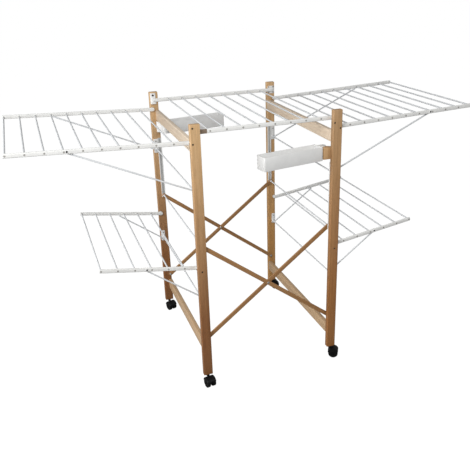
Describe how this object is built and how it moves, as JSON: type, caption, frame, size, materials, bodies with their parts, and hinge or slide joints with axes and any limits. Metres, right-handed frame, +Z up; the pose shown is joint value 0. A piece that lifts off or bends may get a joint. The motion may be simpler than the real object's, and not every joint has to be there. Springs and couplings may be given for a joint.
{
  "type": "folding clothes drying rack",
  "caption": "Free-standing folding clothes drying rack: wooden end frames on casters joined by crossed braces, with a wire shelf, fold-down wire wings on struts and swinging peg trays.",
  "frame": {"origin": "on the floor, midway between the four posts, with the rack open", "axes": "+X from the left end frame to the right end frame along the open length, +Y from the front to the back, +Z up"},
  "size_m": [1.7616, 0.7253, 1.05],
  "materials": {
    "post_beech": "satin lacquered mid-brown beech",
    "crosspiece_beech": "satin lacquered pale beech",
    "brace_beech": "satin lacquered brown beech",
    "white_wire": "white powder coat",
    "white_plastic": "smooth white moulding",
    "black_plastic": "black moulding",
    "zinc_steel": "zinc-plated"
  },
  "bodies": {
    "left_frame": {"post_front_left": "post_beech", "slider_channel_front_left": "white_plastic", "upper_strut_bracket_front_left": "white_plastic", "lower_strut_bracket_front_left": "white_plastic", "brace_pivot_front_left": "zinc_steel", "post_back_left": "post_beech", "slider_channel_back_left": "white_plastic", "upper_strut_bracket_back_left": "white_plastic", "lower_strut_bracket_back_left": "white_plastic", "brace_pivot_back_left": "zinc_steel", "crosspiece_top_left": "crosspiece_beech", "crosspiece_bottom_left": "crosspiece_beech", "tray_block_left": "white_plastic", "shelf_rest_front": "white_plastic", "shelf_rest_back": "white_plastic"},
    "right_frame": {"post_front_right": "post_beech", "slider_channel_front_right": "white_plastic", "upper_strut_bracket_front_right": "white_plastic", "lower_strut_bracket_front_right": "white_plastic", "brace_pivot_front_right": "zinc_steel", "post_back_right": "post_beech", "slider_channel_back_right": "white_plastic", "upper_strut_bracket_back_right": "white_plastic", "lower_strut_bracket_back_right": "white_plastic", "brace_pivot_back_right": "zinc_steel", "crosspiece_top_right": "crosspiece_beech", "crosspiece_bottom_right": "crosspiece_beech", "tray_block_right": "post_beech", "shelf_hinge_front": "white_plastic", "shelf_hinge_back": "white_plastic"},
    "braces_a": {"brace_a_front": "brace_beech", "brace_a_back": "brace_beech", "brace_bolt_front": "zinc_steel", "brace_bolt_back": "zinc_steel", "slider_rod_right": "white_wire"},
    "braces_b": {"brace_b_front": "brace_beech", "brace_b_back": "brace_beech", "slider_rod_left": "white_wire"},
    "shelf": {"centre_shelf": "white_wire"},
    "upper_wing_left_body": {"upper_wing_left": "white_wire"},
    "upper_strut_left_body": {"upper_strut_left": "white_wire"},
    "lower_wing_left_body": {"lower_wing_left": "white_wire"},
    "lower_strut_left_body": {"lower_strut_left": "white_wire"},
    "tray_left_body": {"tray_left": "white_plastic"},
    "upper_wing_right_body": {"upper_wing_right": "white_wire"},
    "upper_strut_right_body": {"upper_strut_right": "white_wire"},
    "lower_wing_right_body": {"lower_wing_right": "white_wire"},
    "lower_strut_right_body": {"lower_strut_right": "white_wire"},
    "tray_right_body": {"tray_right": "white_plastic"},
    "caster_swivel_front_left": {"caster_hood_front_left": "black_plastic"},
    "caster_axle_front_left": {"caster_wheels_front_left": "black_plastic"},
    "caster_swivel_back_left": {"caster_hood_back_left": "black_plastic"},
    "caster_axle_back_left": {"caster_wheels_back_left": "black_plastic"},
    "caster_swivel_front_right": {"caster_hood_front_right": "black_plastic"},
    "caster_axle_front_right": {"caster_wheels_front_right": "black_plastic"},
    "caster_swivel_back_right": {"caster_hood_back_right": "black_plastic"},
    "caster_axle_back_right": {"caster_wheels_back_right": "black_plastic"}
  },
  "joints": [
    {"name": "frame_fold", "type": "hinge", "parent": "left_frame", "child": "braces_a", "pos_m": [-0.258, 0, 0.194], "axis": [0, -1, 0], "range_deg": [0, 42]},
    {"name": "brace_crossing", "type": "hinge", "parent": "braces_a", "child": "braces_b", "pos_m": [0, 0, 0.391], "axis": [0, -1, 0], "range_deg": [-84, 0]},
    {"name": "right_frame_pivot", "type": "hinge", "parent": "braces_b", "child": "right_frame", "pos_m": [0.258, 0, 0.194], "axis": [0, -1, 0], "range_deg": [0, 42]},
    {"name": "shelf_lift", "type": "hinge", "parent": "right_frame", "child": "shelf", "pos_m": [0.268, 0, 1.017], "axis": [0, 1, 0], "range_deg": [0, 90]},
    {"name": "tray_right_swing", "type": "hinge", "parent": "right_frame", "child": "tray_right_body", "pos_m": [0.232, -0.288, 0.859], "axis": [0, 0, -1], "range_deg": [0, 99.6]},
    {"name": "tray_left_swing", "type": "hinge", "parent": "left_frame", "child": "tray_left_body", "pos_m": [-0.232, 0.288, 0.876], "axis": [0, 0, -1], "range_deg": [0, 99.6]},
    {"name": "upper_wing_right_fold", "type": "hinge", "parent": "right_frame", "child": "upper_wing_right_body", "pos_m": [0.279, 0, 0.98], "axis": [0, 1, 0], "range_deg": [0, 90]},
    {"name": "upper_strut_right_fold", "type": "hinge", "parent": "right_frame", "child": "upper_strut_right_body", "pos_m": [0.272, 0, 0.803], "axis": [0, 1, 0], "range_deg": [0, 111.64]},
    {"name": "lower_wing_right_fold", "type": "hinge", "parent": "right_frame", "child": "lower_wing_right_body", "pos_m": [0.279, 0, 0.5047], "axis": [0, 1, 0], "range_deg": [0, 96.51]},
    {"name": "lower_strut_right_fold", "type": "hinge", "parent": "right_frame", "child": "lower_strut_right_body", "pos_m": [0.272, 0, 0.38], "axis": [0, 1, 0], "range_deg": [0, 126.6]},
    {"name": "upper_wing_left_fold", "type": "hinge", "parent": "left_frame", "child": "upper_wing_left_body", "pos_m": [-0.279, 0, 0.98], "axis": [0, -1, 0], "range_deg": [0, 90]},
    {"name": "upper_strut_left_fold", "type": "hinge", "parent": "left_frame", "child": "upper_strut_left_body", "pos_m": [-0.272, 0, 0.803], "axis": [0, -1, 0], "range_deg": [0, 111.64]},
    {"name": "lower_wing_left_fold", "type": "hinge", "parent": "left_frame", "child": "lower_wing_left_body", "pos_m": [-0.279, 0, 0.5047], "axis": [0, -1, 0], "range_deg": [0, 96.51]},
    {"name": "lower_strut_left_fold", "type": "hinge", "parent": "left_frame", "child": "lower_strut_left_body", "pos_m": [-0.272, 0, 0.38], "axis": [0, -1, 0], "range_deg": [0, 126.6]},
    {"name": "caster_swivel_front_left_turn", "type": "hinge", "parent": "left_frame", "child": "caster_swivel_front_left", "pos_m": [-0.268, -0.3275, 0.05], "axis": [0, 0, 1], "continuous": true},
    {"name": "caster_axle_front_left_spin", "type": "hinge", "parent": "caster_swivel_front_left", "child": "caster_axle_front_left", "pos_m": [-0.26539, -0.34227, 0.02], "axis": [0.9848, 0.1736, 0], "continuous": true},
    {"name": "caster_swivel_back_left_turn", "type": "hinge", "parent": "left_frame", "child": "caster_swivel_back_left", "pos_m": [-0.268, 0.3275, 0.05], "axis": [0, 0, 1], "continuous": true},
    {"name": "caster_axle_back_left_spin", "type": "hinge", "parent": "caster_swivel_back_left", "child": "caster_axle_back_left", "pos_m": [-0.26337, 0.31323, 0.02], "axis": [0.9511, 0.309, 0], "continuous": true},
    {"name": "caster_swivel_front_right_turn", "type": "hinge", "parent": "right_frame", "child": "caster_swivel_front_right", "pos_m": [0.268, -0.3275, 0.05], "axis": [0, 0, 1], "continuous": true},
    {"name": "caster_axle_front_right_spin", "type": "hinge", "parent": "caster_swivel_front_right", "child": "caster_axle_front_right", "pos_m": [0.28099, -0.335, 0.02], "axis": [0.5, 0.866, 0], "continuous": true},
    {"name": "caster_swivel_back_right_turn", "type": "hinge", "parent": "right_frame", "child": "caster_swivel_back_right", "pos_m": [0.268, 0.3275, 0.05], "axis": [0, 0, 1], "continuous": true},
    {"name": "caster_axle_back_right_spin", "type": "hinge", "parent": "caster_swivel_back_right", "child": "caster_axle_back_right", "pos_m": [0.283, 0.3275, 0.02], "axis": [0, 1, 0], "continuous": true}
  ],
  "couplings": [
    {"joint": "brace_crossing", "follows": "frame_fold", "ratio": -2},
    {"joint": "right_frame_pivot", "follows": "frame_fold", "ratio": 1},
    {"joint": "shelf_lift", "follows": "frame_fold", "ratio": 2.142},
    {"joint": "tray_right_swing", "follows": "frame_fold", "ratio": 2.369},
    {"joint": "tray_left_swing", "follows": "frame_fold", "ratio": 2.369},
    {"joint": "upper_strut_right_fold", "follows": "upper_wing_right_fold", "ratio": 1.2403},
    {"joint": "lower_wing_right_fold", "follows": "upper_wing_right_fold", "ratio": 1.0722},
    {"joint": "lower_strut_right_fold", "follows": "upper_wing_right_fold", "ratio": 1.4066},
    {"joint": "upper_strut_left_fold", "follows": "upper_wing_left_fold", "ratio": 1.2403},
    {"joint": "lower_wing_left_fold", "follows": "upper_wing_left_fold", "ratio": 1.0722},
    {"joint": "lower_strut_left_fold", "follows": "upper_wing_left_fold", "ratio": 1.4066}
  ]
}
